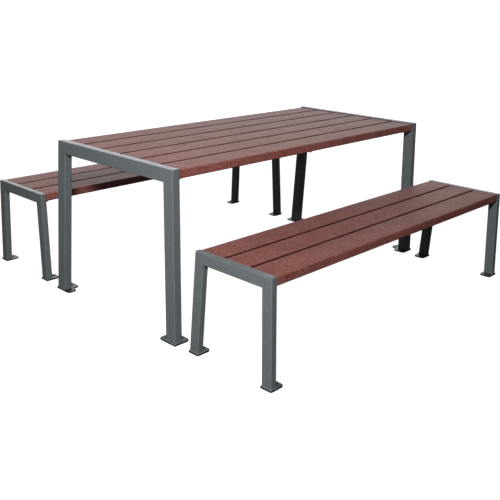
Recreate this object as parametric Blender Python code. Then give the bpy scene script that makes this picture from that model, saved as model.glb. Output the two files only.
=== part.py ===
"""Outdoor table with two separate benches: recycled-plastic planks on welded steel tube end frames.

Frame: metres, +Z up. The origin lies on the ground, midway between the two benches. X runs along
the planks, -Y is the front of the set, where bench_front stands, and bench_rear stands at +Y.
The table stands a little nearer to the front bench.
"Left" and "right" are those of a person who sits on the bench, or in front of the table, facing
the middle of the set. Each table or bench has two end frames. A frame is an inverted U of flat
rectangular tube, with mitred corners and a drilled foot plate under each leg. A flat bar on the
inner side of each crossbar carries the plank ends, and a tie bar joins the planks at mid-span.
Bars and planks are drilled for the screws, two in every plank at each bar, driven from below.
"""

import math

import bpy
from mathutils import Matrix, Vector

# Planks, the same section for the table and the benches
PLANK_SPAN = 1.720          # between the two end frames
PLANK_END_GAP = 0.001       # play at each plank end
PLANK_WIDTH = 0.130
PLANK_THICKNESS = 0.038
PLANK_GAP = 0.008
PLANK_EDGE_RADIUS = 0.006
PLANK_SIDE_INSET = 0.002    # outer plank's side, in from the frame's side

# Table
TABLE_HEIGHT = 0.750
TABLE_PLANKS = 6
TABLE_TUBE = (0.060, 0.040)             # face across the frame, depth along the planks
TABLE_PLANK_DROP = 0.005                # plank tops, below the top of the frame
TABLE_FRONT_LEAN = math.radians(1.2)    # outward lean of the legs
TABLE_BACK_LEAN = math.radians(3.5)

# Benches
BENCH_HEIGHT = 0.445
BENCH_PLANKS = 3
BENCH_TUBE = (0.050, 0.030)
BENCH_PLANK_DROP = 0.0015
BENCH_OUTER_LEAN = math.radians(1.5)
BENCH_INNER_LEAN = math.radians(4.0)

# Places across the set
BENCH_REACH = 0.9785        # origin to the outer side of each bench
TABLE_SHIFT = -0.0315       # table centre line

# Steel
TUBE_WALL = 0.0025
TUBE_CORNER_RADIUS = 0.0045
CONTACT_GAP = 0.0003                    # between pieces that touch
PLATE_THICKNESS = 0.008
PLATE_MARGIN = 0.004                    # plate edge, out from the tube's faces
PLATE_EAR = 0.040                       # reach of a drilled ear past the tube
PLATE_CORNER_RADIUS = 0.004
PLATE_EAR_RADIUS = 0.014
PLATE_NOTCH_RADIUS = 0.010
ANCHOR_HOLE_RADIUS = 0.008
BAR_END_INSET = 0.020                   # bar ends, in from the outer planks' sides
SUPPORT_WIDTH = 0.040
SUPPORT_THICKNESS = 0.005
BAR_CORNER_RADIUS = 0.001
TIE_WIDTH = 0.050

# Screw holes
SCREW_SPREAD = 0.070                    # between the two screws in one plank
SCREW_HOLE_RADIUS = 0.0036
SCREW_DEPTH = 0.025                     # depth of the screw holes in a plank

ARC_STEPS = 3
HOLE_SIDES = 8

X_AXIS = Vector((1, 0, 0))
Z_AXIS = Vector((0, 0, 1))


# ---------------------------------------------------------------- outlines

def rounded_outline(corners):
    """Points of a closed outline, anticlockwise, from (x, y, radius) corners joined by arcs."""
    points = []
    for i, (x, y, radius) in enumerate(corners):
        here = Vector((x, y))
        before = (Vector(corners[i - 1][:2]) - here).normalized()
        after = (Vector(corners[(i + 1) % len(corners)][:2]) - here).normalized()
        half_angle = before.angle(after) / 2
        reach = radius / math.tan(half_angle)
        start = here + before * reach
        end = here + after * reach
        centre = here + (before + after).normalized() * (radius / math.sin(half_angle))
        for step in range(ARC_STEPS + 1):
            chord = start.lerp(end, step / ARC_STEPS)
            points.append(centre + (chord - centre).normalized() * radius)
    return points


def rectangle_outline(x0, y0, x1, y1, radius):
    return rounded_outline([(x0, y0, radius), (x1, y0, radius), (x1, y1, radius), (x0, y1, radius)])


def polygon_circle(x, y, radius, sides):
    turn = 2 * math.pi / sides
    return [Vector((x + radius * math.cos(turn * i), y + radius * math.sin(turn * i)))
            for i in range(sides)]


# ---------------------------------------------------------------- meshes

def new_mesh(name, vertices, faces):
    mesh = bpy.data.meshes.new(name)
    mesh.from_pydata([tuple(v) for v in vertices], [], faces)
    mesh.validate()
    return mesh


def ring_faces(start_a, start_b, count):
    """Quads between two rings of vertices."""
    faces = []
    for i in range(count):
        j = (i + 1) % count
        faces.append((start_a + i, start_a + j, start_b + j, start_b + i))
    return faces


def prism_mesh(name, outline, low, high):
    """Solid between two heights, over an outline in XY."""
    count = len(outline)
    vertices = [(p.x, p.y, low) for p in outline] + [(p.x, p.y, high) for p in outline]
    faces = ring_faces(0, count, count)
    faces.append(tuple(reversed(range(count))))
    faces.append(tuple(range(count, 2 * count)))
    return new_mesh(name, vertices, faces)


def drilled(mesh, holes, low, high, radius):
    """The mesh with a vertical hole cut at each (x, y), between two heights."""
    pins = [prism_mesh("pin", polygon_circle(x, y, radius, HOLE_SIDES), low, high)
            for x, y in holes]
    vertices = []
    faces = []
    for pin in pins:
        first = len(vertices)
        vertices += [v.co.copy() for v in pin.vertices]
        faces += [tuple(first + i for i in p.vertices) for p in pin.polygons]
        bpy.data.meshes.remove(pin)
    cutter = bpy.data.objects.new("cutter", new_mesh("cutter", vertices, faces))
    blank = bpy.data.objects.new("blank", mesh)
    for obj in (cutter, blank):
        bpy.context.scene.collection.objects.link(obj)
    cut = blank.modifiers.new("holes", "BOOLEAN")
    cut.operation = "DIFFERENCE"
    cut.solver = "EXACT"
    cut.object = cutter
    bpy.context.view_layer.update()
    evaluated = blank.evaluated_get(bpy.context.evaluated_depsgraph_get())
    result = bpy.data.meshes.new_from_object(evaluated)
    result.name = mesh.name
    for obj in (cutter, blank):
        bpy.data.objects.remove(obj)
    return result


def tube_mesh(name, origin, along, across, size, cuts):
    """Hollow rectangular tube with both ends open, each cut by a plane.

    origin is on the tube's outer edge line, along is the direction of the tube, across points
    from that edge to the opposite edge, and the depth runs along X. cuts holds the (point,
    normal) planes of the start and the end.
    """
    face, depth = size
    wall = TUBE_WALL
    outer = rectangle_outline(0, 0, face, depth, TUBE_CORNER_RADIUS)
    inner = rectangle_outline(wall, wall, face - wall, depth - wall, TUBE_CORNER_RADIUS - wall)
    vertices = []
    for point, normal in cuts:
        for outline in (outer, inner):
            for p in outline:
                base = origin + across * p.x + X_AXIS * p.y
                distance = (point - base).dot(normal) / along.dot(normal)
                vertices.append(base + along * distance)
    count = len(outer)
    outer_start, inner_start, outer_end, inner_end = (count * i for i in range(4))
    faces = ring_faces(outer_start, outer_end, count)
    faces += ring_faces(inner_end, inner_start, count)
    faces += ring_faces(inner_start, outer_start, count)
    faces += ring_faces(outer_end, inner_end, count)
    if across.cross(X_AXIS).dot(along) < 0:
        faces = [tuple(reversed(f)) for f in faces]
    return new_mesh(name, vertices, faces)


# ---------------------------------------------------------------- materials and objects

def principled(name, colour, roughness, metallic):
    material = bpy.data.materials.new(name)
    material.use_nodes = True
    shader = material.node_tree.nodes["Principled BSDF"]
    shader.inputs["Base Color"].default_value = (*colour, 1)
    shader.inputs["Roughness"].default_value = roughness
    shader.inputs["Metallic"].default_value = metallic
    material.diffuse_color = (*colour, 1)
    return material


def make_materials():
    return {
        "plank": principled("recycled_plastic", (0.24, 0.10, 0.085), 0.65, 0.0),
        "tube": principled("powder_coated_tube", (0.115, 0.13, 0.135), 0.45, 0.0),
        "plate": principled("powder_coated_plate", (0.060, 0.068, 0.072), 0.50, 0.0),
        "bar": principled("powder_coated_bar", (0.080, 0.090, 0.095), 0.50, 0.0),
    }


def add_object(name, mesh, material, parent, location):
    obj = bpy.data.objects.new(name, mesh)
    bpy.context.scene.collection.objects.link(obj)
    if not mesh.materials:
        mesh.materials.append(material)
    obj.parent = parent
    obj.location = location
    mesh.shade_smooth()
    mesh.set_sharp_from_angle(angle=math.radians(35))
    return obj


def add_empty(name, location, turn):
    empty = bpy.data.objects.new(name, None)
    bpy.context.scene.collection.objects.link(empty)
    empty.location = location
    empty.rotation_euler = (0, 0, turn)
    return empty


# ---------------------------------------------------------------- end frames

class Leg:
    """Where one leg runs in its frame: its outer edge line, its mitre and its foot."""

    def __init__(self, side, half_width, height, lean, face):
        self.side = side                                    # -1 at the frame's -Y side, 1 at +Y
        self.top = Vector((0, side * half_width, height))
        self.along = Vector((0, side * math.sin(lean), -math.cos(lean)))
        self.across = Vector((0, -side * math.cos(lean), -math.sin(lean)))
        inner_edge = self.top + self.across * face
        rise = (height - face - inner_edge.z) / self.along.z
        inner_corner = inner_edge + self.along * rise
        seam = (inner_corner - self.top).normalized()
        self.mitre_normal = seam.cross(X_AXIS).normalized()
        if self.mitre_normal.dot(self.along) < 0:
            self.mitre_normal = -self.mitre_normal
        self.foot_height = PLATE_THICKNESS + CONTACT_GAP
        drop = (self.foot_height - height) / self.along.z
        self.foot = self.top + self.along * drop            # outer edge, at the foot plate
        self.foot_face = face / math.cos(lean)              # tube face, measured level


def crossbar_mesh(name, legs, size):
    low, high = legs
    cuts = [(leg.top - leg.mitre_normal * CONTACT_GAP / 2, leg.mitre_normal) for leg in (low, high)]
    along = Vector((0, 1, 0))
    return tube_mesh(name, low.top, along, -Z_AXIS, size, cuts)


def leg_mesh(name, leg, size):
    cuts = [(leg.top + leg.mitre_normal * CONTACT_GAP / 2, leg.mitre_normal),
            (leg.foot, Z_AXIS)]
    return tube_mesh(name, leg.top, leg.along, leg.across, size, cuts)


def foot_plate_mesh(name, leg, size, inward, second_ear):
    """Plate under a leg: an ear along the planks, and on the table a second one under the frame.

    inward is 1 where the planks run towards +X from this frame and -1 where they run to -X. The
    outline is drawn from the tube's outer corner, x along the planks and y across them.
    """
    depth = size[1]
    tube = leg.foot_face
    margin = PLATE_MARGIN
    corner = PLATE_CORNER_RADIUS
    ear = PLATE_EAR_RADIUS
    far_x = depth + PLATE_EAR
    far_y = tube + PLATE_EAR
    if second_ear:
        corners = [(-margin, -margin, corner), (far_x, -margin, ear), (far_x, tube + margin, ear),
                   (depth + margin, tube + margin, PLATE_NOTCH_RADIUS),
                   (depth + margin, far_y, ear), (-margin, far_y, ear)]
        holes = [(depth + PLATE_EAR / 2, tube / 2), (depth / 2, tube + PLATE_EAR / 2)]
    else:
        corners = [(-margin, -margin, corner), (far_x, -margin, ear), (far_x, tube + margin, ear),
                   (-margin, tube + margin, corner)]
        holes = [(depth + PLATE_EAR / 2, tube / 2)]
    outline = rounded_outline(corners)
    flip_x = inward
    flip_y = -leg.side
    outline = [Vector((p.x * flip_x, p.y * flip_y)) for p in outline]
    holes = [(x * flip_x, y * flip_y) for x, y in holes]
    if flip_x * flip_y < 0:
        outline.reverse()
    blank = prism_mesh(name, outline, 0, PLATE_THICKNESS)
    return drilled(blank, holes, -PLATE_THICKNESS, 2 * PLATE_THICKNESS, ANCHOR_HOLE_RADIUS)


def build_frame(prefix, end, frame_x, inward, legs, leg_names, size, second_ear, parent, paint):
    """One end frame, with its outer face at frame_x. The tubes' depth runs inward from there."""
    tube_x = frame_x if inward > 0 else frame_x - size[1]
    place = Vector((tube_x, 0, 0))
    name = f"{prefix}_{end}_crossbar"
    add_object(name, crossbar_mesh(name, legs, size), paint["tube"], parent, place)
    for leg, leg_name in zip(legs, leg_names):
        name = f"{prefix}_{end}_{leg_name}_leg"
        add_object(name, leg_mesh(name, leg, size), paint["tube"], parent, place)
        name = f"{prefix}_{end}_{leg_name}_foot_plate"
        mesh = foot_plate_mesh(name, leg, size, inward, second_ear)
        add_object(name, mesh, paint["plate"], parent, Vector((frame_x, leg.foot.y, 0)))


# ---------------------------------------------------------------- decks

def plank_centres(count):
    pitch = PLANK_WIDTH + PLANK_GAP
    return [(i - (count - 1) / 2) * pitch for i in range(count)]


def deck_width(count):
    return count * PLANK_WIDTH + (count - 1) * PLANK_GAP


def frame_width(count):
    return deck_width(count) + 2 * PLANK_SIDE_INSET


def screw_rows(count):
    """The y of every screw along one bar."""
    return [centre + side * SCREW_SPREAD / 2 for centre in plank_centres(count) for side in (-1, 1)]


def plank_mesh(name, bar_rows, bottom):
    """Plank along X with rounded long edges, and blind screw holes above each bar."""
    half = PLANK_SPAN / 2 - PLANK_END_GAP
    outline = rectangle_outline(-PLANK_WIDTH / 2, 0, PLANK_WIDTH / 2, PLANK_THICKNESS,
                                PLANK_EDGE_RADIUS)
    mesh = prism_mesh(name, outline, -half, half)
    stand_on_x = Matrix(((0, 0, 1, 0), (1, 0, 0, 0), (0, 1, 0, bottom), (0, 0, 0, 1)))
    mesh.transform(stand_on_x)
    holes = [(x, side * SCREW_SPREAD / 2) for x in bar_rows for side in (-1, 1)]
    top = bottom + SCREW_DEPTH + 2 * CONTACT_GAP
    return drilled(mesh, holes, bottom - PLANK_THICKNESS, top, SCREW_HOLE_RADIUS)


def bar_mesh(name, width, length, rows, top):
    """Flat bar along Y, drilled for the screws, with its upper face at top."""
    outline = rectangle_outline(-width / 2, -length / 2, width / 2, length / 2,
                                BAR_CORNER_RADIUS)
    mesh = prism_mesh(name, outline, top - SUPPORT_THICKNESS, top)
    holes = [(0, y) for y in rows]
    low = top - 2 * SUPPORT_THICKNESS
    return drilled(mesh, holes, low, top + SUPPORT_THICKNESS, SCREW_HOLE_RADIUS)


def build_deck(prefix, count, height, drop, parent, paint):
    """Planks and the bars under them."""
    bottom = height - drop - PLANK_THICKNESS
    bar_top = bottom - CONTACT_GAP
    support_x = PLANK_SPAN / 2 - CONTACT_GAP - SUPPORT_WIDTH / 2
    bar_rows = (-support_x, 0, support_x)
    mesh = plank_mesh(f"{prefix}_plank", bar_rows, bottom)
    for number, y in enumerate(plank_centres(count), start=1):
        name = f"{prefix}_plank_{number}"
        add_object(name, mesh.copy(), paint["plank"], parent, Vector((0, y, 0)))
    bpy.data.meshes.remove(mesh)
    rows = screw_rows(count)
    bar_length = deck_width(count) - 2 * BAR_END_INSET
    for end, x in (("left", -support_x), ("right", support_x)):
        name = f"{prefix}_{end}_plank_support"
        mesh = bar_mesh(name, SUPPORT_WIDTH, bar_length, rows, bar_top)
        add_object(name, mesh, paint["bar"], parent, Vector((x, 0, 0)))
    name = f"{prefix}_tie_bar"
    mesh = bar_mesh(name, TIE_WIDTH, bar_length, rows, bar_top)
    add_object(name, mesh, paint["bar"], parent, Vector((0, 0, 0)))


# ---------------------------------------------------------------- table and benches

def build_item(prefix, count, height, drop, size, leans, leg_names, second_ear, parent, paint):
    half_width = frame_width(count) / 2
    legs = [Leg(side, half_width, height, lean, size[0]) for side, lean in zip((-1, 1), leans)]
    frame_x = PLANK_SPAN / 2 + size[1]
    for end, inward in (("left", 1), ("right", -1)):
        build_frame(prefix, end, -inward * frame_x, inward, legs, leg_names, size, second_ear,
                    parent, paint)
    build_deck(prefix, count, height, drop, parent, paint)


def build_table(paint):
    parent = add_empty("table", Vector((0, TABLE_SHIFT, 0)), 0)
    build_item("table", TABLE_PLANKS, TABLE_HEIGHT, TABLE_PLANK_DROP, TABLE_TUBE,
               (TABLE_FRONT_LEAN, TABLE_BACK_LEAN), ("front", "back"), True, parent, paint)


def build_bench(prefix, side, paint):
    """A bench at the -Y side of the table, or turned half round at its +Y side."""
    centre = side * (BENCH_REACH - frame_width(BENCH_PLANKS) / 2)
    parent = add_empty(prefix, Vector((0, centre, 0)), 0 if side < 0 else math.pi)
    build_item(prefix, BENCH_PLANKS, BENCH_HEIGHT, BENCH_PLANK_DROP, BENCH_TUBE,
               (BENCH_OUTER_LEAN, BENCH_INNER_LEAN), ("outer", "inner"), False, parent, paint)


def main():
    for obj in list(bpy.data.objects):
        bpy.data.objects.remove(obj)
    paint = make_materials()
    build_table(paint)
    build_bench("bench_front", -1, paint)
    build_bench("bench_rear", 1, paint)


main()
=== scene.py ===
"""Looks of the outdoor table and its two benches: red-brown recycled-plastic planks on welded
frames of rectangular steel tube, powder coated in a blue grey.

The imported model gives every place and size. The finished pieces stand for its planks, tubes and
foot plates; its drilled bars stay and get their paint. Units are metres, +Z is up, X runs along
the planks and -Y is the front.
"""

import math
import random

import bmesh
import bpy
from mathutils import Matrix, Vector


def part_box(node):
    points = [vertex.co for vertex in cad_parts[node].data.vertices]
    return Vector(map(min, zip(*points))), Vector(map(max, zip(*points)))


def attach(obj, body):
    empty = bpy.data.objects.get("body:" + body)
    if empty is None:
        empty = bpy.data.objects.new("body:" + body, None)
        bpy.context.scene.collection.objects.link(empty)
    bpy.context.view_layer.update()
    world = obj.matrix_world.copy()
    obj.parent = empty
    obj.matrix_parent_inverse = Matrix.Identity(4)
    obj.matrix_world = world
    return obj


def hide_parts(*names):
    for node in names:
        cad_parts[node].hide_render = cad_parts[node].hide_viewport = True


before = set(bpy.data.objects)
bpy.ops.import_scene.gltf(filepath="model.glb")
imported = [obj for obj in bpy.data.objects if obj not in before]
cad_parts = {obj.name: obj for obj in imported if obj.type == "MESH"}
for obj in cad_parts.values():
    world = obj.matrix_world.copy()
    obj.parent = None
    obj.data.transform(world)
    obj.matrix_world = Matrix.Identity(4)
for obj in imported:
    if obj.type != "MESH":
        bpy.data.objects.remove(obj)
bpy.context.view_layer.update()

MM = 0.001
X_AXIS = Vector((1, 0, 0))
Y_AXIS = Vector((0, 1, 0))
Z_AXIS = Vector((0, 0, 1))

# The table and the benches, with their planks and the names of their legs at the -Y and +Y sides
ITEMS = {
    "table": (6, ("front", "back")),
    "bench_front": (3, ("outer", "inner")),
    "bench_rear": (3, ("inner", "outer")),
}
ENDS = ("left", "right")

# Planks
PLANK_EDGE_RADIUS = 6 * MM
PLANK_SAW_CHAMFER = 0.8 * MM
PLANK_RINGS = 23                # crossings along a plank, between its ends
PLANK_TONES = (0.94, 1.06)      # deepest and palest shade within the batch, as factors
GAP_SHADE_TOP = 0.4 * MM            # depth below a plank's top where the painted shade in a gap starts
GAP_SHADE_FULL = 2.2 * MM           # depth where the painted shade covers the plastic
GAP_SIDE_TURN = 0.35            # how far a surface has to turn to a gap to take the painted shade

# Tubes
TUBE_WALL = 2.5 * MM
TUBE_CORNER_RADIUS = 4.5 * MM
TUBE_CORNER_STEPS = 6
TUBE_SPARE = 80 * MM            # extra length that the mitre saw takes off
WEAR_START = 12                 # degrees of turn on a rounded corner where the coat gets thinner
WEAR_SPREAD = 30                # degrees from there to its thinnest

# Foot plates
PLATE_MARGIN = 4 * MM
PLATE_EAR = 40 * MM
PLATE_CORNER_RADIUS = 4 * MM
PLATE_EAR_RADIUS = 14 * MM
PLATE_NOTCH_RADIUS = 10 * MM
PLATE_CORNER_STEPS = 7
PLATE_EDGE_CHAMFER = 0.8 * MM
ANCHOR_HOLE_RADIUS = 8 * MM
ANCHOR_HOLE_SIDES = 32

# Welds
FOOT_BEAD = 3.2 * MM            # leg of the fillet round a tube's foot
FOOT_BEAD_ROOT = 0.8 * MM       # how far it reaches into the tube wall
FOOT_BEAD_CUTS = 11             # crossings along each straight run of the fillet
CORNER_BEAD = 5 * MM            # width of the bead inside a mitred corner
STITCH_BEAD = 4 * MM
STITCH_LENGTH = 30 * MM
STITCH_PITCH = 250 * MM
ROUND_BEAD_SIDES = 10
ROUND_BEAD_CUTS = 12
BEAD_UNEVENNESS = 0.25 * MM
SEEDS_PER_FRAME = 100           # the beads of each end frame are uneven in their own way

# Screws, driven up through the bars into the planks
SCREW_SPREAD = 70 * MM
WASHER_RADIUS = 9 * MM
WASHER_THICKNESS = 1.6 * MM
SCREW_HEAD_RADIUS = 5.8 * MM
SCREW_HEAD_HEIGHT = 4.5 * MM
SCREW_SHANK_RADIUS = 3 * MM
SCREW_LENGTH = 28 * MM

# Studio
FLOOR_RADIUS = 40
BACKDROP_RADIUS = 42
SHADOW_REACH = 2.0              # the floor takes shadows up to here, in metres from its centre
SHADOW_END = 6.5                # and none from here on
KEY_PLACE = (-3.0, -2.4, 2.55)
BACK_WALL_PLACE = (5.0, 5.2, 2.6)
LEFT_FILL_PLACE = (-2.4, -0.6, 0.9)
RIGHT_FILL_PLACE = (4.2, 0.3, 0.35)
REAR_FILL_PLACE = (0.3, 4.4, 0.35)
SIDE_FILL_SIZE = (4.0, 0.6)
SIDE_FILL_WATTS = 20
WHITE = (1, 1, 1)
KEY_WHITE = (1, 0.99, 0.97)
AIR_COLOUR = (0.9, 0.95, 1, 1)
AIR_STRENGTH = 0.03

# View
CAMERA_PLACE = (-2.794, -2.6712, 1.4337)
CAMERA_TURN = (77.11, -1.21, -46.12)    # degrees
CAMERA_LENS = 54.41                     # millimetres
CAMERA_SENSOR = 36
CAMERA_SHIFT = -0.165


# ---------------------------------------------------------------- modelling by hand

def clear_selection():
    if bpy.context.object and bpy.context.object.mode != "OBJECT":
        bpy.ops.object.mode_set(mode="OBJECT")
    bpy.ops.object.select_all(action="DESELECT")


def make_active(piece):
    clear_selection()
    piece.select_set(True)
    bpy.context.view_layer.objects.active = piece


def keep_in_mesh(piece):
    """Puts the piece's place, turn and size into its mesh."""
    make_active(piece)
    bpy.ops.object.transform_apply(location=True, rotation=True, scale=True)


def start_block(name, low, high):
    """A block between two corners, ready for shaping."""
    clear_selection()
    bpy.ops.mesh.primitive_cube_add(size=1, location=(low + high) / 2, scale=high - low)
    block = bpy.context.object
    block.name = name
    keep_in_mesh(block)
    return block


def start_round(name, centre, radius, height, sides):
    """A round or many-sided bar that stands on Z."""
    clear_selection()
    bpy.ops.mesh.primitive_cylinder_add(vertices=sides, radius=radius, depth=height,
                                        location=centre)
    bar = bpy.context.object
    bar.name = name
    keep_in_mesh(bar)
    return bar


def pick(piece, kind, test):
    """Goes into edit mode with only those vertices, edges or faces selected that pass the test."""
    if bpy.context.object is not piece or piece.mode != "EDIT":
        make_active(piece)
        bpy.ops.object.mode_set(mode="EDIT")
    bpy.ops.mesh.select_mode(type=kind)
    bpy.ops.mesh.select_all(action="DESELECT")
    form = bmesh.from_edit_mesh(piece.data)
    parts = {"VERT": form.verts, "EDGE": form.edges, "FACE": form.faces}[kind]
    for part in parts:
        if test(part):
            part.select_set(True)
    bmesh.update_edit_mesh(piece.data)


def leave_edit():
    bpy.ops.object.mode_set(mode="OBJECT")


def runs_along(edge, axis):
    line = edge.verts[1].co - edge.verts[0].co
    return line.length > 0 and abs(line.normalized().dot(axis)) > 0.999


def middle(edge):
    return (edge.verts[0].co + edge.verts[1].co) / 2


def faces_to(face, direction):
    return face.normal.dot(direction) > 0.999


def bevel(width, steps):
    bpy.ops.mesh.bevel(offset=width, segments=steps, profile=0.5, affect="EDGES")


def shape_with(piece, kind, **settings):
    """Adds a modifier with these settings and applies it."""
    make_active(piece)
    modifier = piece.modifiers.new("shape", kind)
    for key, value in settings.items():
        setattr(modifier, key, value)
    bpy.ops.object.modifier_apply(modifier=modifier.name)


def smooth(piece, degrees=30):
    """Shades the rounded edges smooth and keeps the flat faces flat."""
    make_active(piece)
    bpy.ops.object.shade_smooth_by_angle(angle=math.radians(degrees))
    shape_with(piece, "WEIGHTED_NORMAL", keep_sharp=True)


def copy_of(piece, name, move):
    """A copy with its own mesh, moved in the mesh."""
    make_active(piece)
    bpy.ops.object.duplicate(linked=False)
    copy = bpy.context.object
    copy.name = name
    copy.location = move
    keep_in_mesh(copy)
    return copy


def join_as(name, parts):
    """Makes one piece of several."""
    clear_selection()
    for part in parts:
        part.select_set(True)
    bpy.context.view_layer.objects.active = parts[0]
    bpy.ops.object.join()
    joined = bpy.context.object
    joined.name = name
    return joined


def finish_piece(piece, material, slot, *nodes):
    """Paints a piece, fixes it to the set and, where it stands for CAD nodes, hides them."""
    piece.data.name = piece.name
    piece.data.materials.clear()
    piece.data.materials.append(material)
    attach(piece, "root")
    if nodes:
        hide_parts(*nodes)


# ---------------------------------------------------------------- materials

def linear(code):
    """Linear colour of an sRGB hex code such as #7f5048."""
    parts = [int(code[i:i + 2], 16) / 255 for i in (1, 3, 5)]
    return (*[c / 12.92 if c <= 0.04045 else ((c + 0.055) / 1.055) ** 2.4 for c in parts], 1)


def add_node(tree, kind, settings=None, links=None):
    """Adds a shader node; settings name its properties or sockets, links name its inputs."""
    node = tree.nodes.new(kind)
    for key, value in (settings or {}).items():
        if isinstance(key, int) or key in node.inputs:
            node.inputs[key].default_value = value
        else:
            setattr(node, key, value)
    for socket, source in (links or {}).items():
        tree.links.new(source, node.inputs[socket])
    return node


def new_material(name):
    material = bpy.data.materials.new(name)
    material.use_nodes = True
    tree = material.node_tree
    tree.nodes.clear()
    return material, tree


def per_metre(size_in_mm):
    """A pattern's scale from the real size of its features."""
    return 1000 / size_in_mm


def set_ramp(node, stops):
    ramp = node.color_ramp
    while len(ramp.elements) < len(stops):
        ramp.elements.new(0.5)
    for element, (place, colour) in zip(ramp.elements, stops):
        element.position = place
        element.color = colour


def recycled_plastic():
    """Recycled polyolefin, dyed through and moulded into planks: red-brown, matte, with drawn-out
    streaks from the flow, a pebbled skin and a few flakes of other colours. Painted shade darkens
    the gaps between planks, where the plank's gap attribute marks it."""
    material, tree = new_material("recycled_plastic_red_brown")
    place = add_node(tree, "ShaderNodeTexCoord").outputs["Object"]
    along = add_node(tree, "ShaderNodeMapping", {"Scale": (1, 12, 12)}, {"Vector": place})
    streaks = add_node(tree, "ShaderNodeTexNoise",
                       {"Scale": per_metre(70), "Detail": 4, "Roughness": 0.6},
                       {"Vector": along.outputs["Vector"]})
    clouds = add_node(tree, "ShaderNodeTexNoise", {"Scale": per_metre(110), "Detail": 3},
                      {"Vector": place})
    # The skin's pebbles are about 1 mm; drawn at 7 mm so that they show
    pebbles = add_node(tree, "ShaderNodeTexNoise",
                       {"Scale": per_metre(7), "Detail": 4, "Roughness": 0.75},
                       {"Vector": place})
    flakes = add_node(tree, "ShaderNodeTexVoronoi", {"Scale": per_metre(16)}, {"Vector": place})
    tone = add_node(tree, "ShaderNodeAttribute", {"attribute_name": "plank_tone"})
    # Painted shade in the gaps between planks, as marked on each plank by mark_plank
    gap_shade = add_node(tree, "ShaderNodeAttribute", {"attribute_name": "gap_painted_shade"})

    body = add_node(tree, "ShaderNodeValToRGB", links={"Fac": clouds.outputs["Fac"]})
    set_ramp(body, [(0.30, linear("#7e4840")), (0.55, linear("#8a524b")),
                    (0.78, linear("#945b54"))])
    streak_mask = add_node(tree, "ShaderNodeMapRange",
                           {"From Min": 0.50, "From Max": 0.75, "To Max": 0.6},
                           {"Value": streaks.outputs["Fac"]})
    streaked = add_node(tree, "ShaderNodeMixRGB", {"Color2": linear("#8a5c53")},
                        {"Color1": body.outputs["Color"], "Fac": streak_mask.outputs["Result"]})
    speckle_mask = add_node(tree, "ShaderNodeMapRange",
                            {"From Min": 0.50, "From Max": 0.34, "To Max": 0.9},
                            {"Value": pebbles.outputs["Fac"]})
    speckled = add_node(tree, "ShaderNodeMixRGB", {"Color2": linear("#4c2923")},
                        {"Color1": streaked.outputs["Color"],
                         "Fac": speckle_mask.outputs["Result"]})
    glint_mask = add_node(tree, "ShaderNodeMapRange",
                          {"From Min": 0.55, "From Max": 0.68, "To Max": 0.8},
                          {"Value": pebbles.outputs["Fac"]})
    glinting = add_node(tree, "ShaderNodeMixRGB", {"Color2": linear("#a87a70")},
                        {"Color1": speckled.outputs["Color"], "Fac": glint_mask.outputs["Result"]})
    flake_near = add_node(tree, "ShaderNodeMath",
                          {"operation": "LESS_THAN", 1: 0.11}, {0: flakes.outputs["Distance"]})
    flake_few = add_node(tree, "ShaderNodeMath",
                         {"operation": "GREATER_THAN", 1: 0.72}, {0: flakes.outputs["Color"]})
    flake_mask = add_node(tree, "ShaderNodeMath", {"operation": "MULTIPLY"},
                          {0: flake_near.outputs[0], 1: flake_few.outputs[0]})
    flaked = add_node(tree, "ShaderNodeMixRGB", {"Color2": linear("#a4827a")},
                      {"Color1": glinting.outputs["Color"], "Fac": flake_mask.outputs[0]})
    toned = add_node(tree, "ShaderNodeHueSaturation",
                     links={"Color": flaked.outputs["Color"], "Value": tone.outputs["Fac"]})
    # Painted shade: plank sides down in a gap turn near-black, standing for the shade that falls
    # there
    gap_shaded = add_node(tree, "ShaderNodeMixRGB", {"Color2": linear("#260c08")},
                     {"Color1": toned.outputs["Color"], "Fac": gap_shade.outputs["Fac"]})

    gloss = add_node(tree, "ShaderNodeMapRange", {"To Min": 0.50, "To Max": 0.70},
                     {"Value": pebbles.outputs["Fac"]})
    flow_lines = add_node(tree, "ShaderNodeBump", {"Strength": 0.35, "Distance": 0.5 * MM},
                          {"Height": streaks.outputs["Fac"]})
    skin = add_node(tree, "ShaderNodeBump", {"Strength": 0.6, "Distance": 0.9 * MM},
                    {"Height": pebbles.outputs["Fac"], "Normal": flow_lines.outputs["Normal"]})
    shader = add_node(tree, "ShaderNodeBsdfPrincipled", {"IOR": 1.5, "Specular IOR Level": 0.13},
                      {"Base Color": gap_shaded.outputs["Color"], "Roughness": gloss.outputs["Result"],
                       "Normal": skin.outputs["Normal"]})
    add_node(tree, "ShaderNodeOutputMaterial", links={"Surface": shader.outputs["BSDF"]})
    return material


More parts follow.
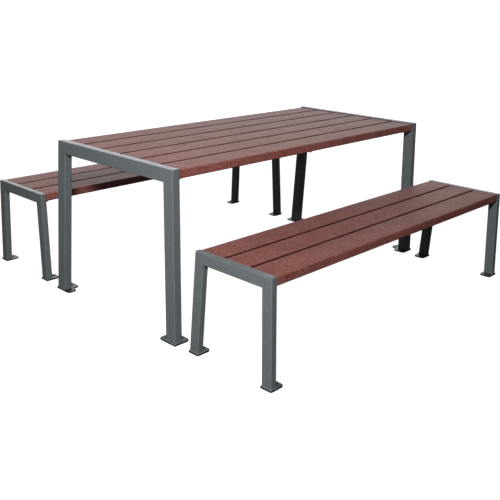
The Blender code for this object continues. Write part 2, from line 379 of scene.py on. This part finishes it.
def powder_coat(name, main, deep, worn, shine=0.5):
    """Polyester powder coat baked on steel: satin, with fine orange peel and a faint mottle. It
    pulls thin on sharp corners, which the edge_wear attribute marks, and looks paler there."""
    material, tree = new_material(name)
    place = add_node(tree, "ShaderNodeTexCoord").outputs["Object"]
    # Orange peel is about 1 mm; drawn at 2 mm so that it shows
    peel = add_node(tree, "ShaderNodeTexNoise",
                    {"Scale": per_metre(2), "Detail": 2, "Roughness": 0.55}, {"Vector": place})
    mottle = add_node(tree, "ShaderNodeTexNoise",
                      {"Scale": per_metre(45), "Detail": 5, "Roughness": 0.6}, {"Vector": place})
    rubbed = add_node(tree, "ShaderNodeTexNoise",
                      {"Scale": per_metre(14), "Detail": 4, "Roughness": 0.7}, {"Vector": place})
    edge = add_node(tree, "ShaderNodeAttribute", {"attribute_name": "edge_wear"})
    coat = add_node(tree, "ShaderNodeValToRGB", links={"Fac": mottle.outputs["Fac"]})
    set_ramp(coat, [(0.32, linear(deep)), (0.68, linear(main))])
    rubbed_part = add_node(tree, "ShaderNodeMapRange",
                           {"From Min": 0.35, "From Max": 0.70, "To Min": 0.15, "To Max": 0.6},
                           {"Value": rubbed.outputs["Fac"]})
    wear = add_node(tree, "ShaderNodeMath", {"operation": "MULTIPLY"},
                    {0: edge.outputs["Fac"], 1: rubbed_part.outputs["Result"]})
    colour = add_node(tree, "ShaderNodeMixRGB", {"Color2": linear(worn)},
                      {"Color1": coat.outputs["Color"], "Fac": wear.outputs[0]})
    gloss = add_node(tree, "ShaderNodeMapRange", {"To Min": 0.38, "To Max": 0.52},
                     {"Value": mottle.outputs["Fac"]})
    skin = add_node(tree, "ShaderNodeBump", {"Strength": 0.25, "Distance": 0.15 * MM},
                    {"Height": peel.outputs["Fac"]})
    shader = add_node(tree, "ShaderNodeBsdfPrincipled",
                      {"IOR": 1.5, "Specular IOR Level": shine},
                      {"Base Color": colour.outputs["Color"], "Roughness": gloss.outputs["Result"],
                       "Normal": skin.outputs["Normal"]})
    add_node(tree, "ShaderNodeOutputMaterial", links={"Surface": shader.outputs["BSDF"]})
    return material


def zinc_plate():
    """Zinc-plated steel screws: dull silver with a faint warm passivation mottle."""
    material, tree = new_material("zinc_plated_steel")
    place = add_node(tree, "ShaderNodeTexCoord").outputs["Object"]
    mottle = add_node(tree, "ShaderNodeTexNoise", {"Scale": per_metre(4), "Detail": 3},
                      {"Vector": place})
    tint = add_node(tree, "ShaderNodeValToRGB", links={"Fac": mottle.outputs["Fac"]})
    set_ramp(tint, [(0.35, linear("#a9a79c")), (0.65, linear("#c3c6c8"))])
    gloss = add_node(tree, "ShaderNodeMapRange", {"To Min": 0.28, "To Max": 0.48},
                     {"Value": mottle.outputs["Fac"]})
    shader = add_node(tree, "ShaderNodeBsdfPrincipled", {"Metallic": 1.0},
                      {"Base Color": tint.outputs["Color"], "Roughness": gloss.outputs["Result"]})
    add_node(tree, "ShaderNodeOutputMaterial", links={"Surface": shader.outputs["BSDF"]})
    return material


# ---------------------------------------------------------------- planks

def model_plank(name, low, high):
    """A plank with moulded long edges and sawn ends, whose sharp rim is taken off."""
    plank = start_block(name, low, high)
    pick(plank, "EDGE", lambda e: runs_along(e, X_AXIS))
    bevel(PLANK_EDGE_RADIUS, 7)
    pick(plank, "EDGE", lambda e: not runs_along(e, X_AXIS))
    bevel(PLANK_SAW_CHAMFER, 2)
    pick(plank, "EDGE", lambda e: runs_along(e, X_AXIS) and e.calc_length() > (high - low).x / 2)
    bpy.ops.mesh.subdivide(number_cuts=PLANK_RINGS)
    leave_edit()
    smooth(plank)
    return plank


def mark_plank(plank, tone, top, gap_sides):
    """Gives a plank its tone within the batch, and marks its sides next to a gap for painted
    shade.
    """
    shade = plank.data.attributes.new("plank_tone", "FLOAT", "POINT")
    shade.data.foreach_set("value", [tone] * len(plank.data.vertices))
    # Painted shade: none near the top, full further down the sides that face a gap
    gap_shade = plank.data.attributes.new("gap_painted_shade", "FLOAT", "POINT")
    for vertex, mark in zip(plank.data.vertices, gap_shade.data):
        depth = (top - vertex.co.z - GAP_SHADE_TOP) / (GAP_SHADE_FULL - GAP_SHADE_TOP)
        if any(vertex.normal.y * side > GAP_SIDE_TURN for side in gap_sides):
            mark.value = min(1, max(0, depth))


def build_planks(item, count, plastic, draw):
    """The planks of one item, each with its own shade of the batch."""
    first_low, first_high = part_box(f"{item}_plank_1")
    order = 1 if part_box(f"{item}_plank_2")[0].y > first_low.y else -1
    pattern = model_plank(f"{item}_plank_pattern", first_low, first_high)
    for number in range(1, count + 1):
        node = f"{item}_plank_{number}"
        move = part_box(node)[0] - first_low
        plank = copy_of(pattern, f"{node}_moulded", move)
        gap_sides = [order * side for side, last in ((-1, 1), (1, count)) if number != last]
        mark_plank(plank, draw.uniform(*PLANK_TONES), first_high.z, gap_sides)
        finish_piece(plank, plastic, "plank", node)
    bpy.data.objects.remove(pattern)


# ---------------------------------------------------------------- tubes

def mark_corners(tube):
    """Marks the crown of every rounded corner, where the coat is thin."""
    wear = tube.data.attributes.new("edge_wear", "FLOAT", "POINT")
    for vertex, mark in zip(tube.data.vertices, wear.data):
        steepest = max(abs(part) for part in vertex.normal)
        turned = math.degrees(math.acos(min(1, steepest)))
        mark.value = min(1, max(0, (turned - WEAR_START) / WEAR_SPREAD))


def straight_tube(name, low, high, axis):
    """Tube along an axis with rounded corners and a wall, still open at both ends."""
    tube = start_block(name, low, high)
    pick(tube, "EDGE", lambda e: runs_along(e, axis))
    bevel(TUBE_CORNER_RADIUS, TUBE_CORNER_STEPS)
    leave_edit()
    mark_corners(tube)
    pick(tube, "FACE", lambda f: abs(f.normal.dot(axis)) > 0.999)
    bpy.ops.mesh.delete(type="FACE")
    leave_edit()
    shape_with(tube, "SOLIDIFY", thickness=TUBE_WALL, offset=-1, use_rim=False)
    return tube


def saw_end(tube, point, normal):
    """Cuts a tube's end off along a plane, where the normal points to, and closes the rim."""
    pick(tube, "FACE", lambda f: True)
    bpy.ops.mesh.bisect(plane_co=point, plane_no=normal, clear_outer=True, threshold=1e-6)
    pick(tube, "EDGE",
         lambda e: e.is_boundary and abs((middle(e) - point).dot(normal)) < 1e-5)
    bpy.ops.mesh.bridge_edge_loops()
    leave_edit()


class LegLine:
    """Where a leg stands in its end frame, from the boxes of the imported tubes."""

    def __init__(self, item, end, leg_name, side):
        bar_low, bar_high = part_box(f"{item}_{end}_crossbar")
        leg_low, leg_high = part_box(f"{item}_{end}_{leg_name}_leg")
        self.side = side
        self.x_low = bar_low.x
        self.x_high = bar_high.x
        self.face = bar_high.z - bar_low.z
        outer_y = bar_low.y if side < 0 else bar_high.y
        foot_y = leg_low.y if side < 0 else leg_high.y
        self.top = Vector((self.x_low, outer_y, bar_high.z))
        self.foot_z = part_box(f"{item}_{end}_{leg_name}_foot_plate")[1].z
        self.lean = math.atan2(abs(foot_y - outer_y), bar_high.z - leg_low.z)
        across = Vector((0, -side * math.cos(self.lean), -math.sin(self.lean)))
        down = Vector((0, side * math.sin(self.lean), -math.cos(self.lean)))
        edge = self.top + across * self.face
        rise = (bar_low.z - edge.z) / down.z
        self.inner_corner = edge + down * rise
        seam = (self.inner_corner - self.top).normalized()
        self.mitre = seam.cross(X_AXIS).normalized()        # points from crossbar to leg
        if self.mitre.dot(down) < 0:
            self.mitre = -self.mitre
        drop = (self.foot_z - self.top.z) / down.z
        self.foot = self.top + down * drop                  # outer edge, on the foot plate
        self.foot_face = self.face / math.cos(self.lean)


def build_crossbar(item, end, legs, coat):
    node = f"{item}_{end}_crossbar"
    low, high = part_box(node)
    spare = Vector((0, TUBE_SPARE, 0))
    tube = straight_tube(f"{node}_tube", low - spare, high + spare, Y_AXIS)
    for leg in legs:
        saw_end(tube, leg.top, leg.mitre)
    smooth(tube)
    finish_piece(tube, coat, "frame_tube", node)


def build_leg(item, end, leg_name, leg, coat):
    """An upright tube, leaned about the frame's top corner and sawn at the mitre and the foot."""
    node = f"{item}_{end}_{leg_name}_leg"
    inner_y = leg.top.y - leg.side * leg.face
    low = Vector((leg.x_low, min(leg.top.y, inner_y), -TUBE_SPARE))
    high = Vector((leg.x_high, max(leg.top.y, inner_y), leg.top.z + TUBE_SPARE))
    tube = straight_tube(f"{node}_tube", low, high, Z_AXIS)
    make_active(tube)
    bpy.context.scene.cursor.location = leg.top
    bpy.ops.object.origin_set(type="ORIGIN_CURSOR")
    tube.rotation_euler.x = leg.side * leg.lean
    keep_in_mesh(tube)
    saw_end(tube, leg.top, -leg.mitre)
    saw_end(tube, leg.foot, -Z_AXIS)
    smooth(tube)
    finish_piece(tube, coat, "frame_tube", node)


# ---------------------------------------------------------------- foot plates

def round_corner(plate, x, y, radius):
    pick(plate, "EDGE", lambda e: runs_along(e, Z_AXIS)
         and abs(middle(e).x - x) < 1e-4 and abs(middle(e).y - y) < 1e-4)
    bevel(radius, PLATE_CORNER_STEPS)


def model_foot_plate(name, face, depth, thickness, second_ear):
    """A foot plate drawn from the tube's outer corner, x along the planks and y across them."""
    near = -PLATE_MARGIN
    side_x, side_y = depth + PLATE_MARGIN, face + PLATE_MARGIN
    far_x, far_y = depth + PLATE_EAR, face + PLATE_EAR
    plate = start_block(name, Vector((near, near, 0)), Vector((side_x, side_y, thickness)))
    pick(plate, "FACE", lambda f: faces_to(f, X_AXIS))
    bpy.ops.mesh.extrude_region_move(TRANSFORM_OT_translate={"value": (far_x - side_x, 0, 0)})
    holes = [(depth + PLATE_EAR / 2, face / 2)]
    corners = [(near, near, PLATE_CORNER_RADIUS), (far_x, near, PLATE_EAR_RADIUS),
               (far_x, side_y, PLATE_EAR_RADIUS)]
    if second_ear:
        pick(plate, "FACE", lambda f: faces_to(f, Y_AXIS) and f.calc_center_median().x < side_x)
        bpy.ops.mesh.extrude_region_move(TRANSFORM_OT_translate={"value": (0, far_y - side_y, 0)})
        holes.append((depth / 2, face + PLATE_EAR / 2))
        corners += [(side_x, side_y, PLATE_NOTCH_RADIUS), (side_x, far_y, PLATE_EAR_RADIUS),
                    (near, far_y, PLATE_EAR_RADIUS)]
    else:
        corners.append((near, side_y, PLATE_CORNER_RADIUS))
    bpy.ops.mesh.select_all(action="SELECT")
    bpy.ops.mesh.dissolve_limited(angle_limit=math.radians(1))
    for x, y, radius in corners:
        round_corner(plate, x, y, radius)
    leave_edit()
    for x, y in holes:
        centre = Vector((x, y, thickness / 2))
        drill = start_round("drill", centre, ANCHOR_HOLE_RADIUS, 3 * thickness,
                            ANCHOR_HOLE_SIDES)
        shape_with(plate, "BOOLEAN", operation="DIFFERENCE", solver="EXACT", object=drill)
        bpy.data.objects.remove(drill)
    shape_with(plate, "BEVEL", width=PLATE_EDGE_CHAMFER, segments=2, limit_method="ANGLE",
               angle_limit=math.radians(50))
    return plate


def build_foot_plate(item, end, leg_name, leg, inward, coat):
    node = f"{item}_{end}_{leg_name}_foot_plate"
    low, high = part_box(node)
    depth = leg.x_high - leg.x_low
    second_ear = high.y - low.y > leg.foot_face + 3 * PLATE_MARGIN
    plate = model_foot_plate(f"{node}_drilled", leg.foot_face, depth, high.z - low.z, second_ear)
    outer_x = leg.x_low if inward > 0 else leg.x_high
    plate.scale = (inward, -leg.side, 1)
    plate.location = (outer_x, leg.foot.y, low.z)
    keep_in_mesh(plate)
    pick(plate, "FACE", lambda f: True)
    bpy.ops.mesh.normals_make_consistent(inside=False)
    leave_edit()
    smooth(plate)
    finish_piece(plate, coat, "foot_plate", node)


# ---------------------------------------------------------------- welds

def roughen_bead(bead, seed):
    """A weld run by hand is a little uneven."""
    pick(bead, "VERT", lambda v: True)
    bpy.ops.transform.vertex_random(offset=BEAD_UNEVENNESS, uniform=0.5, normal=0.5, seed=seed)
    leave_edit()


def foot_bead(leg, seed):
    """Fillet weld round the foot of a leg: a low sloped ring that bites into the tube's wall."""
    inner_y = leg.foot.y - leg.side * leg.foot_face
    reach = Vector((FOOT_BEAD, FOOT_BEAD, 0))
    low = Vector((leg.x_low, min(leg.foot.y, inner_y), leg.foot_z)) - reach
    high = Vector((leg.x_high, max(leg.foot.y, inner_y), leg.foot_z + 0.3 * MM)) + reach
    bead = start_block("foot_bead", low, high)
    pick(bead, "EDGE", lambda e: runs_along(e, Z_AXIS))
    bevel(TUBE_CORNER_RADIUS + FOOT_BEAD, 5)
    pick(bead, "FACE", lambda f: faces_to(f, Z_AXIS))
    bpy.ops.mesh.inset(thickness=FOOT_BEAD * 0.45, depth=FOOT_BEAD * 0.6)
    bpy.ops.mesh.inset(thickness=FOOT_BEAD * 0.5, depth=FOOT_BEAD * 0.3)
    bpy.ops.mesh.inset(thickness=FOOT_BEAD * 0.05 + FOOT_BEAD_ROOT, depth=0)
    bpy.ops.mesh.delete(type="FACE")
    pick(bead, "FACE", lambda f: faces_to(f, -Z_AXIS))
    bpy.ops.mesh.inset(thickness=FOOT_BEAD + FOOT_BEAD_ROOT, depth=0)
    bpy.ops.mesh.delete(type="FACE")
    pick(bead, "EDGE", lambda e: e.is_boundary)
    bpy.ops.mesh.bridge_edge_loops()
    longest = TUBE_CORNER_RADIUS * 3
    pick(bead, "EDGE", lambda e: e.calc_length() > longest
         and (runs_along(e, X_AXIS) or runs_along(e, Y_AXIS)))
    bpy.ops.mesh.subdivide(number_cuts=FOOT_BEAD_CUTS)
    leave_edit()
    roughen_bead(bead, seed)
    return bead


def round_bead(centre, axis, length, radius, seed):
    """A bead of weld laid in an inside corner: a short round run with closed, tapering ends."""
    run = start_round("bead", Vector((0, 0, 0)), radius, length, ROUND_BEAD_SIDES)
    pick(run, "EDGE", lambda e: not runs_along(e, Z_AXIS))
    bevel(radius * 0.45, 2)
    pick(run, "EDGE", lambda e: runs_along(e, Z_AXIS))
    bpy.ops.mesh.subdivide(number_cuts=ROUND_BEAD_CUTS)
    leave_edit()
    run.rotation_euler = Z_AXIS.rotation_difference(axis).to_euler()
    run.location = centre
    keep_in_mesh(run)
    roughen_bead(run, seed)
    return run


def build_welds(item, end, legs, inward, coat, seed):
    """All welds of one end frame as one piece."""
    beads = []
    for number, leg in enumerate(legs):
        beads.append(foot_bead(leg, seed + number))
        centre = leg.inner_corner.copy()
        centre.x = (leg.x_low + leg.x_high) / 2
        length = leg.x_high - leg.x_low - 2 * TUBE_CORNER_RADIUS
        beads.append(round_bead(centre, X_AXIS, length, CORNER_BEAD / 2, seed + 10 + number))
    low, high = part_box(f"{item}_{end}_plank_support")
    x = low.x if inward > 0 else high.x
    runs = max(2, round((high.y - low.y) / STITCH_PITCH))
    for number in range(runs):
        y = low.y + (high.y - low.y) * (number + 0.5) / runs
        centre = Vector((x, y, low.z))
        beads.append(round_bead(centre, Y_AXIS, STITCH_LENGTH, STITCH_BEAD / 2,
                                seed + 20 + number))
    welds = join_as(f"{item}_{end}_welds", beads)
    smooth(welds, 50)
    finish_piece(welds, coat, "frame_tube")


# ---------------------------------------------------------------- screws

def model_screw():
    """Hexagon screw with a washer, its head down; the washer's upper face is at the origin."""
    washer_middle = Vector((0, 0, -WASHER_THICKNESS / 2))
    washer = start_round("washer", washer_middle, WASHER_RADIUS, WASHER_THICKNESS, 28)
    pick(washer, "EDGE", lambda e: not runs_along(e, Z_AXIS))
    bevel(WASHER_THICKNESS * 0.25, 2)
    leave_edit()
    head_middle = Vector((0, 0, -WASHER_THICKNESS - SCREW_HEAD_HEIGHT / 2))
    head = start_round("head", head_middle, SCREW_HEAD_RADIUS, SCREW_HEAD_HEIGHT, 6)
    lowest = -WASHER_THICKNESS - SCREW_HEAD_HEIGHT
    pick(head, "EDGE", lambda e: not runs_along(e, Z_AXIS) and middle(e).z < lowest + 1e-5)
    bevel(SCREW_HEAD_HEIGHT * 0.16, 2)
    pick(head, "FACE", lambda f: faces_to(f, -Z_AXIS))
    bpy.ops.mesh.inset(thickness=SCREW_HEAD_RADIUS * 0.3, depth=-SCREW_HEAD_HEIGHT * 0.12)
    leave_edit()
    shank_middle = Vector((0, 0, SCREW_LENGTH / 2 - WASHER_THICKNESS))
    shank = start_round("shank", shank_middle, SCREW_SHANK_RADIUS, SCREW_LENGTH, 12)
    pick(shank, "FACE", lambda f: faces_to(f, Z_AXIS))
    bpy.ops.mesh.extrude_region_move(TRANSFORM_OT_translate={"value": (0, 0, SCREW_SHANK_RADIUS)})
    bpy.ops.transform.resize(value=(0.25, 0.25, 1))
    leave_edit()
    screw = join_as("screw", [washer, head, shank])
    smooth(screw)
    return screw


def build_screws(item, count, bar_node, pattern, zinc):
    """Two screws in every plank at one bar, as one piece."""
    low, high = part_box(bar_node)
    x = (low.x + high.x) / 2
    screws = []
    for number in range(1, count + 1):
        plank_low, plank_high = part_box(f"{item}_plank_{number}")
        centre_y = (plank_low.y + plank_high.y) / 2
        for side in (-1, 1):
            place = Vector((x, centre_y + side * SCREW_SPREAD / 2, low.z))
            screws.append(copy_of(pattern, "screw", place))
    row = join_as(f"{bar_node}_screws", screws)
    finish_piece(row, zinc, "deck_screw")


# ---------------------------------------------------------------- the set

def build_set():
    draw = random.Random(11)
    plastic = recycled_plastic()
    tube_coat = powder_coat("powder_coat_blue_grey", "#5b6164", "#585e61", "#6d7477")
    # The foot plates wear the frame's own coat, painted darker here to stand for the shade down at
    # the ground
    shaded_plate_coat = powder_coat("powder_coat_foot_plate_painted_shade", "#33383b", "#2e3336", "#4b5255", 0.2)
    # The bars under the deck wear the frame's own coat, painted darker here to stand for the shade
    # under the planks
    shaded_bar_coat = powder_coat("powder_coat_under_deck_painted_shade", "#4e565a", "#4a5256", "#656e71")
    zinc = zinc_plate()
    screw = model_screw()
    seed = 1
    for item, (count, leg_names) in ITEMS.items():
        build_planks(item, count, plastic, draw)
        for end in ENDS:
            inward = -1 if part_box(f"{item}_{end}_crossbar")[0].x > 0 else 1
            legs = [LegLine(item, end, name, side) for name, side in zip(leg_names, (-1, 1))]
            build_crossbar(item, end, legs, tube_coat)
            for name, leg in zip(leg_names, legs):
                build_leg(item, end, name, leg, tube_coat)
                build_foot_plate(item, end, name, leg, inward, shaded_plate_coat)
            build_welds(item, end, legs, inward, tube_coat, seed)
            seed += SEEDS_PER_FRAME
        for bar in ("left_plank_support", "right_plank_support", "tie_bar"):
            node = f"{item}_{bar}"
            for material_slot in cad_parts[node].material_slots:
                material_slot.material = shaded_bar_coat
            build_screws(item, count, node, screw, zinc)
    bpy.data.objects.remove(screw)


# ---------------------------------------------------------------- studio

def studio_white(name, grey, glow_near, glow_far):
    """White paper, bright all over: evenly lit far out, and able to take a faint shadow nearby."""
    material, tree = new_material(name)
    place = add_node(tree, "ShaderNodeTexCoord").outputs["Object"]
    distance = add_node(tree, "ShaderNodeVectorMath", {"operation": "LENGTH"}, {0: place})
    glow = add_node(tree, "ShaderNodeMapRange",
                    {"interpolation_type": "SMOOTHSTEP", "From Min": SHADOW_REACH,
                     "From Max": SHADOW_END, "To Min": glow_near, "To Max": glow_far},
                    {"Value": distance.outputs["Value"]})
    shader = add_node(tree, "ShaderNodeBsdfPrincipled",
                      {"Base Color": (grey, grey, grey, 1), "Roughness": 1.0,
                       "Specular IOR Level": 0.0, "Emission Color": (1, 1, 1, 1)},
                      {"Emission Strength": glow.outputs["Result"]})
    add_node(tree, "ShaderNodeOutputMaterial", links={"Surface": shader.outputs["BSDF"]})
    return material


def build_floor():
    """Plain pale floor, and a plain pale backdrop all round it."""
    clear_selection()
    bpy.ops.mesh.primitive_circle_add(vertices=64, radius=FLOOR_RADIUS, fill_type="NGON",
                                      location=(0, 0, 0))
    floor = bpy.context.object
    floor.name = "studio_floor"
    floor.data.materials.append(studio_white("floor_white", 0.35, 0.95, 1.0))
    clear_selection()
    bpy.ops.mesh.primitive_uv_sphere_add(segments=64, ring_count=32, radius=BACKDROP_RADIUS,
                                         location=(0, 0, 0))
    backdrop = bpy.context.object
    backdrop.name = "studio_backdrop"
    backdrop.data.materials.append(studio_white("backdrop_white", 0, 1.0, 1.0))
    for stage in (floor, backdrop):
        stage.visible_diffuse = False
        stage.visible_glossy = False
        stage.visible_transmission = False
    backdrop.visible_shadow = False


def add_light(name, place, target, size, watts, colour):
    lamp = bpy.data.lights.new(name, "AREA")
    lamp.shape = "RECTANGLE"
    lamp.size, lamp.size_y = size
    lamp.energy = watts
    lamp.color = colour
    holder = bpy.data.objects.new(name, lamp)
    holder.location = place
    holder.rotation_mode = "QUATERNION"
    holder.rotation_quaternion = (Vector(target) - Vector(place)).to_track_quat("-Z", "Y")
    bpy.context.scene.collection.objects.link(holder)


def build_lights():
    """A key light at the front left, a wide wall of light behind, and low fills on three sides."""
    world = bpy.data.worlds.new("studio_air")
    world.use_nodes = True
    background = world.node_tree.nodes["Background"]
    background.inputs["Color"].default_value = AIR_COLOUR
    background.inputs["Strength"].default_value = AIR_STRENGTH
    bpy.context.scene.world = world
    add_light("key", KEY_PLACE, (-0.1, -0.2, 0.3), (0.5, 0.5), 172, KEY_WHITE)
    add_light("left_fill", LEFT_FILL_PLACE, (-0.9, -0.4, 0.4), (1.2, 1.0), 7.5, WHITE)
    add_light("right_fill", RIGHT_FILL_PLACE, (0.9, 0.3, 0.35), SIDE_FILL_SIZE, SIDE_FILL_WATTS,
              WHITE)
    add_light("rear_fill", REAR_FILL_PLACE, (0.3, 1.0, 0.35), SIDE_FILL_SIZE, SIDE_FILL_WATTS,
              WHITE)
    add_light("back_wall", BACK_WALL_PLACE, (0, 0, 0.4), (9, 4), 400, WHITE)


def build_camera():
    """Seen from the front left, a little above the table top."""
    lens = bpy.data.cameras.new("view")
    lens.sensor_width = CAMERA_SENSOR
    lens.lens = CAMERA_LENS
    lens.shift_y = CAMERA_SHIFT
    lens.clip_end = 200
    holder = bpy.data.objects.new("view", lens)
    holder.location = CAMERA_PLACE
    holder.rotation_euler = [math.radians(turn) for turn in CAMERA_TURN]
    bpy.context.scene.collection.objects.link(holder)
    bpy.context.scene.camera = holder
    bpy.context.scene.view_settings.view_transform = "Standard"


build_set()
build_floor()
build_lights()
build_camera()
clear_selection()
